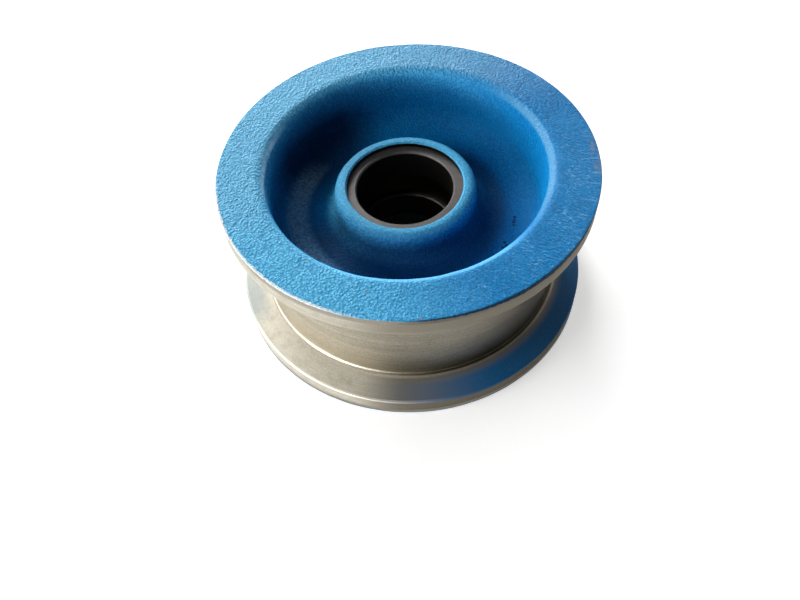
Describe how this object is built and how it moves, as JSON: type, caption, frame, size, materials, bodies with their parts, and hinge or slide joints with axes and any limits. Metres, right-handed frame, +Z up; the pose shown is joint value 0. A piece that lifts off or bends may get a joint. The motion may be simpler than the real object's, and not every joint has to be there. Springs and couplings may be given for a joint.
{
  "type": "crane travel wheel",
  "caption": "Double-flanged crane travel wheel: a cast body with a turned tread between tapered flanges, dished blue-painted sides and plain bushes pressed into its hub.",
  "frame": {"origin": "centre of the lower flange face, on the axle's line", "axes": "+Z up along the axle's line; the wheel lies on its lower flange face; X and Y are any two directions across it"},
  "size_m": [0.19, 0.19, 0.085],
  "materials": {
    "painted_casting": "blue machine enamel over a rough casting on the sides, fine turned bare metal on the tread and rims",
    "bush_metal": "dull grey-brown turned metal"
  },
  "bodies": {
    "root": {"wheel_body": "painted_casting", "upper_bush": "bush_metal", "lower_bush": "bush_metal"}
  },
  "joints": []
}
